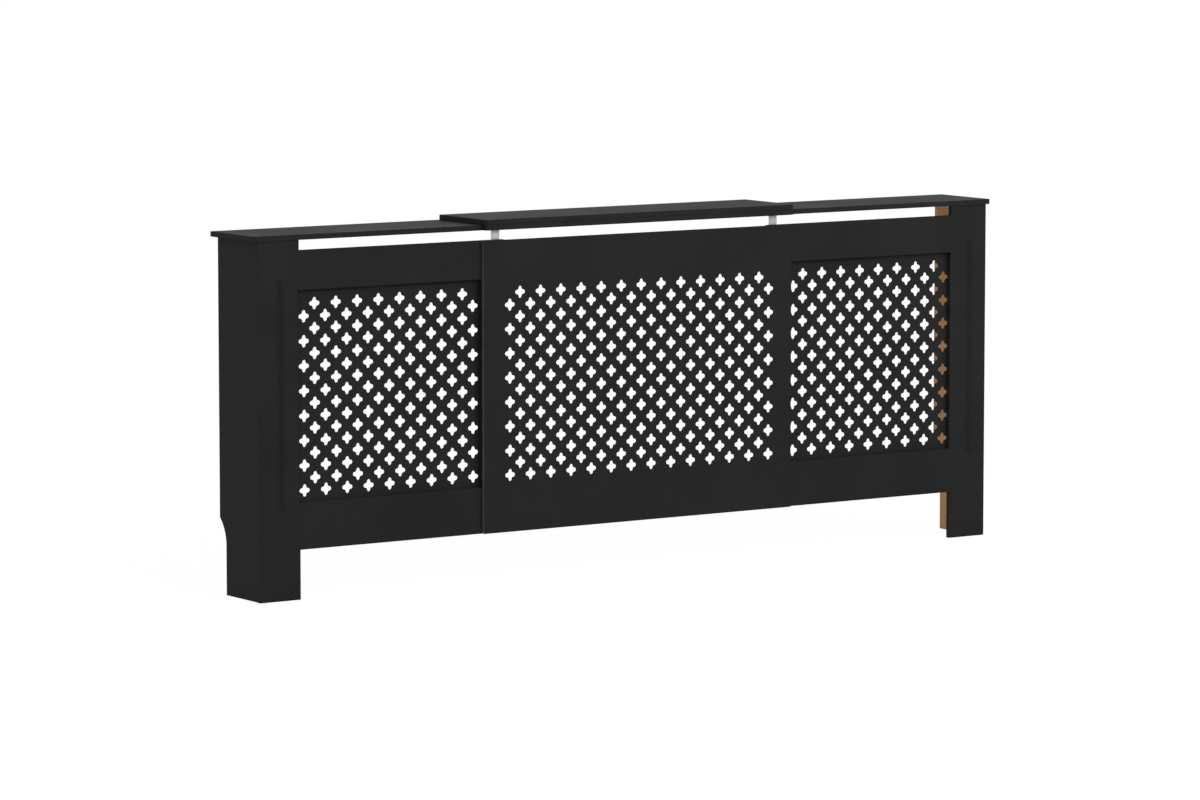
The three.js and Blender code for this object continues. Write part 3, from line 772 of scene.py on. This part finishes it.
class COVER_OT_lattices(CoverStep, bpy.types.Operator):
    """Clover lattices: one behind each window, and the middle front panel"""

    bl_idname = "cover.lattices"
    bl_label = "Clover lattices"

    def execute(self, context):
        sizes, lattice = context.scene.cover_sizes, context.scene.cover_lattice
        half = lattice.pitch / 2
        sheets = []
        for side, sign in SIDES:
            opening = window(side, sign)
            span = (lattice.side_columns - 1) * half
            first_x = opening[2] - lattice.margin_x - span if sign > 0 else opening[0] + lattice.margin_x
            first_x += sizes.window_shift + lattice.shift
            names = f"{side}_clover_lattice", f"{side}_lattice_panel", f"{side}_unit"
            sheets.append((*names, first_x, lattice.side_columns))
        first_x = lattice.shift - (lattice.middle_columns - 1) * half / 2
        sheets.append(("middle_clover_panel", "middle_front_panel", MIDDLE, first_x, lattice.middle_columns))
        first_z = sizes.floor_gap + sizes.bottom_rail + lattice.margin_z
        # The third material, on the sheets' cut rims, is the thin edge lacquer whose lighter tone is painted
        # highlight.
        materials = [satin_black_lacquer(), bare_fibreboard(), thin_lacquer_with_painted_highlight()]
        for name, node, body, first_x, columns in sheets:
            low, high = corners(node)
            sheet, thickness = (low[0], low[2], high[0], high[2]), high[1] - low[1]
            patches = pierced_sheet(sheet, (first_x, first_z), columns, lattice, low[1], thickness)
            add_piece(name, patches, materials, body, [node], smooth_below=60.0)
        return {"FINISHED"}


class COVER_OT_side_boards(CoverStep, bpy.types.Operator):
    """Side boards, cut out at the back to clear a skirting board"""

    bl_idname = "cover.side_boards"
    bl_label = "Side boards"

    def execute(self, context):
        sizes = context.scene.cover_sizes
        depth, radius = sizes.skirting_depth, sizes.skirting_radius
        sweep = math.acos(1 - depth / radius)
        for side, sign in SIDES:
            low, high = corners(f"{side}_side_board")
            heel = high[1] - depth
            hollow = arc((heel + radius, sizes.skirting_height), radius, math.pi, math.pi - sweep, steps=12)
            outline = np.vstack([[[low[1], 0], [heel, 0]], hollow, [[high[1], high[2]], [low[1], high[2]]]])
            plane = np.array([high[0] if sign > 0 else low[0], 0, 0]), sign * Y, Z
            patches = board(mirrored(outline, sign), high[0] - low[0], plane, rim=sizes.overspray)
            add_board(f"{side}_end_board", patches, f"{side}_unit", f"{side}_side_board", sizes.edge_ease)
        return {"FINISHED"}


class COVER_OT_shelves(CoverStep, bpy.types.Operator):
    """Shelf boards of the end units, the middle shelf and its lip"""

    bl_idname = "cover.shelves"
    bl_label = "Shelves"

    def execute(self, context):
        sizes = context.scene.cover_sizes
        radius = sizes.shelf_corner
        shelves = [(f"{part}_shelf", f"{part}_top_board", f"{part}_unit") for part in ("left", "right", "middle")]
        for name, node, body in [*shelves, ("middle_shelf_lip", "middle_top_lip", MIDDLE)]:
            low, high = corners(node)
            left, right = [[low[0], low[1]]], [[high[0], low[1]]]
            if body != "right_unit":
                left = arc((low[0] + radius, low[1] + radius), radius, math.pi, 1.5 * math.pi, steps=8)
            if body != "left_unit":
                right = arc((high[0] - radius, low[1] + radius), radius, -math.pi / 2, 0, steps=8)
            outline = np.vstack([left, right, [[high[0], high[1]], [low[0], high[1]]]])
            # Only the lip is painted on its underside too.
            under, rim = (PAINT, 0.0) if node == "middle_top_lip" else (BARE, sizes.overspray)
            plane = np.array([0, 0, high[2]]), X, Y
            patches = board(outline, high[2] - low[2], plane, finishes=(PAINT, PAINT, under), rim=rim)
            add_board(name, patches, body, node, sizes.edge_ease)
        return {"FINISHED"}


class COVER_OT_end_strips(CoverStep, bpy.types.Operator):
    """Painted strips down both ends of the middle panel's back"""

    bl_idname = "cover.end_strips"
    bl_label = "End strips"

    def execute(self, context):
        ease = context.scene.cover_sizes.edge_ease / 2
        for side, _ in SIDES:
            node = f"middle_end_strip_{side}"
            low, high = corners(node)
            outline = rectangle(low[0], low[2], high[0], high[2])
            patches = board(outline, high[1] - low[1], facing_room(low[1]))
            # The strips' thin edge lacquer is lighter than the faces, partly painted highlight of their eased
            # edges.
            add_board(f"{side}_spacer_strip", patches, MIDDLE, node, ease, coat=thin_lacquer_with_painted_highlight)
        return {"FINISHED"}


# Bracket, its two legs on the right-hand unit, the holes' distances from its corner, the screws in them.
BRACKETS = (
    ("rail_bracket", (-Z, Y), (0.038, 0.020), ("rail_bracket_screw_low", "rail_bracket_screw_top")),
    ("top_bracket", (-Z, -X), (0.020, 0.020), ("top_bracket_screw_side", "top_bracket_screw_top")),
    ("upper_corner_bracket", (-X, Y), (0.020, 0.020), ("upper_corner_screw_front", "upper_corner_screw_side")),
    ("lower_corner_bracket", (-X, Y), (0.020, 0.020), ("lower_corner_screw_front", "lower_corner_screw_side")),
    ("wall_bracket", (-Y, -X), (0.020, 0.020), ("wall_bracket_screw",)),
)


class COVER_OT_brackets(CoverStep, bpy.types.Operator):
    """Bent steel brackets with their pan-head screws"""

    bl_idname = "cover.brackets"
    bl_label = "Brackets and screws"

    def execute(self, context):
        sizes = context.scene.cover_fittings
        for side, sign in SIDES:
            for bracket, legs, insets, screws in BRACKETS:
                one, two = (leg * [sign, 1, 1] for leg in legs)
                low, high = corners(f"{side}_{bracket}")
                lead, span = one + two, high - low
                corner = np.where(lead > 0, low, np.where(lead < 0, high, (low + high) / 2))
                lengths = [abs(span @ leg) for leg in (one, two)]
                width = abs(span @ np.cross(one, two))
                last_hole = sizes.wall_hole_radius if bracket == "wall_bracket" else sizes.hole_radius
                holes = sizes.hole_radius, last_hole
                patches = bent_bracket(corner, (one, two), lengths, insets, holes, width, sizes)
                add_fitting(side, f"bent_{bracket}", patches, bracket)
                for screw, direction in zip(screws, (-two, -one)):
                    low, high = corners(f"{side}_{screw}")
                    reach = np.abs((high - low) @ direction)
                    top = (low + high) / 2 - reach / 2 * direction
                    patches = moved(pan_screw((high - low).min() / 2, reach, sizes), top, direction)
                    add_fitting(side, f"pan_head_{screw}", patches, screw)
        return {"FINISHED"}


class COVER_OT_guides(CoverStep, bpy.types.Operator):
    """Guide bolts and wing nuts, and the finish of the channels they run in"""

    bl_idname = "cover.guides"
    bl_label = "Guides"

    def execute(self, context):
        sizes = context.scene.cover_fittings
        for side, _ in SIDES:
            for level in ("upper", "lower"):
                bolt, nut = f"{level}_guide_bolt", f"{level}_wing_nut"
                low, high = corners(f"{side}_{bolt}")
                middle = (low + high) / 2
                front = np.array([middle[0], low[1], middle[2]])
                patches = moved(guide_bolt((high - low).min() / 2, high[1] - low[1], sizes), front, Y)
                add_fitting(side, f"{level}_threaded_guide", patches, bolt)
                low, high = corners(f"{side}_{nut}")
                span, depth, _ = high - low
                patches = wing_nut(np.array([middle[0], low[1], middle[2]]), span, depth, sizes)
                add_fitting(side, f"{level}_shaped_nut", patches, nut, NUT_EASE)
        for channel in ("middle_upper_channel", "middle_lower_channel"):
            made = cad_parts[channel]
            made.data.materials.clear()
            made.data.materials.append(anodised_aluminium())
        return {"FINISHED"}


def sees_ground(tree):
    """A value of 1 for the rays by which the eye, metal or glass sees the ground, and 0 for the light's."""
    ray = add_node(tree, "ShaderNodeLightPath").outputs
    links = {0: ray["Is Glossy Ray"], 1: ray["Is Transmission Ray"]}
    shiny = add_node(tree, "ShaderNodeMath", {"operation": "ADD"}, links=links).outputs["Value"]
    links = {0: ray["Is Camera Ray"], 1: shiny}
    return add_node(tree, "ShaderNodeMath", {"operation": "ADD", "use_clamp": True}, links=links).outputs["Value"]


# The ground's glow makes its paper white to the eye, and its share leaves room for the cover's shadow.
GROUND_GLOW, GLOW_SHARE = 1.04, 0.93
WHITE, PAPER_GREY = (1, 1, 1, 1), (0.85, 0.85, 0.85)


@made_once
def studio_paper(tree, _):
    """Matt studio paper."""
    # The eye sees white with the cover's soft shadow, and light meets a pale grey.
    matt = add_node(tree, "ShaderNodeBsdfDiffuse", values={"Color": linear(PAPER_GREY), "Roughness": 0.9})
    glow = add_node(tree, "ShaderNodeEmission", values={"Color": WHITE, "Strength": GROUND_GLOW})
    share = add_node(tree, "ShaderNodeMath", {"operation": "MULTIPLY"}, {1: GLOW_SHARE}, {0: sees_ground(tree)})
    links = {"Fac": share.outputs["Value"], 1: matt.outputs["BSDF"], 2: glow.outputs["Emission"]}
    return add_node(tree, "ShaderNodeMixShader", links=links).outputs["Shader"]


def aimed(made, place, ahead):
    """Sets a camera or a lamp at its place, looking ahead with its top up."""
    made.location = place
    made.rotation_mode = "QUATERNION"
    made.rotation_quaternion = ahead.to_track_quat("-Z", "Y")


# Half the floor's width and how far it lies under the feet; the softbox's size, place and target.
FLOOR_REACH, FLOOR_DROP = 60.0, 0.0003
SOFTBOX_SIZE, SOFTBOX_PLACE, SOFTBOX_TARGET = (5.0, 3.0), Vector((1.6, -5.0, 3.4)), Vector((0, 0, 0.5))


class COVER_OT_stage(CoverStep, bpy.types.Operator):
    """Pale floor, white ground, soft light and the camera"""

    bl_idname = "cover.stage"
    bl_label = "Stage"

    def execute(self, context):
        scene, settings = context.scene, context.scene.cover_stage
        scene.view_settings.view_transform = "Standard"

        camera = bpy.data.cameras.new("camera")
        camera.lens, camera.sensor_width = settings.camera_lens, 36.0
        camera.clip_start, camera.clip_end = 0.1, 200.0
        scene.camera = placed("camera", camera)
        turn, dip = settings.camera_turn, settings.camera_dip
        ahead = Vector((math.sin(turn) * math.cos(dip), math.cos(turn) * math.cos(dip), -math.sin(dip)))
        aimed(scene.camera, (settings.camera_x, settings.camera_y, settings.camera_z), ahead)

        mesh = bpy.data.meshes.new("studio_floor")
        square = rectangle(-FLOOR_REACH, -FLOOR_REACH, FLOOR_REACH, FLOOR_REACH)
        mesh.from_pydata([(x, y, -FLOOR_DROP) for x, y in square], [], [(0, 1, 2, 3)])
        mesh.materials.append(studio_paper())
        placed("studio_floor", mesh)

        world = bpy.data.worlds.new("white_ground")
        world.use_nodes = True
        tree = world.node_tree
        tree.nodes.clear()
        links = {"Fac": sees_ground(tree)}
        for key, strength in ((1, settings.world_light), (2, 1.0)):
            light = add_node(tree, "ShaderNodeBackground", values={"Color": WHITE, "Strength": strength})
            links[key] = light.outputs["Background"]
        mix = add_node(tree, "ShaderNodeMixShader", links=links)
        add_node(tree, "ShaderNodeOutputWorld", links={"Surface": mix.outputs["Shader"]})
        scene.world = world

        lamp = bpy.data.lights.new("softbox_in_front", "AREA")
        lamp.shape, lamp.energy = "RECTANGLE", settings.front_light
        lamp.size, lamp.size_y = SOFTBOX_SIZE
        aimed(placed("softbox_in_front", lamp), SOFTBOX_PLACE, SOFTBOX_TARGET - SOFTBOX_PLACE)
        return {"FINISHED"}


class COVER_PT_panel(bpy.types.Panel):
    """The cover's sizes, colours and steps"""

    bl_label = "Radiator cover"
    bl_idname = "COVER_PT_panel"
    bl_space_type = "VIEW_3D"
    bl_region_type = "UI"
    bl_category = "Radiator cover"

    def draw(self, context):
        for key in GROUPS:
            box = self.layout.box()
            box.label(text=key.replace("_", " ").capitalize())
            group = getattr(context.scene, key)
            for prop in group.bl_rna.properties:
                if prop.identifier not in ("rna_type", "name"):
                    box.prop(group, prop.identifier)
        for step in STEPS:
            self.layout.operator(step.bl_idname)


GROUPS = {"cover_sizes": CoverSizes, "cover_lattice": LatticeSizes, "cover_groove": GrooveSizes}
GROUPS |= {"cover_fittings": FittingSizes, "cover_finishes": CoverFinishes, "cover_stage": StageSettings}
STEPS = (COVER_OT_front_frames, COVER_OT_lattices, COVER_OT_side_boards, COVER_OT_shelves)
STEPS += (COVER_OT_end_strips, COVER_OT_brackets, COVER_OT_guides, COVER_OT_stage)
CLASSES = (*GROUPS.values(), *STEPS, COVER_PT_panel)


def register():
    """Registers the classes and hangs the settings on the scene."""
    for item in CLASSES:
        bpy.utils.register_class(item)
    for key, group in GROUPS.items():
        setattr(bpy.types.Scene, key, PointerProperty(type=group))


def unregister():
    """Takes it all off again."""
    for key in GROUPS:
        delattr(bpy.types.Scene, key)
    for item in reversed(CLASSES):
        bpy.utils.unregister_class(item)


def main():
    """Builds the cover and its stage."""
    register()
    bpy.ops.cover.front_frames()
    bpy.ops.cover.lattices()
    bpy.ops.cover.side_boards()
    bpy.ops.cover.shelves()
    bpy.ops.cover.end_strips()
    bpy.ops.cover.brackets()
    bpy.ops.cover.guides()
    bpy.ops.cover.stage()


if __name__ == "__main__":
    main()
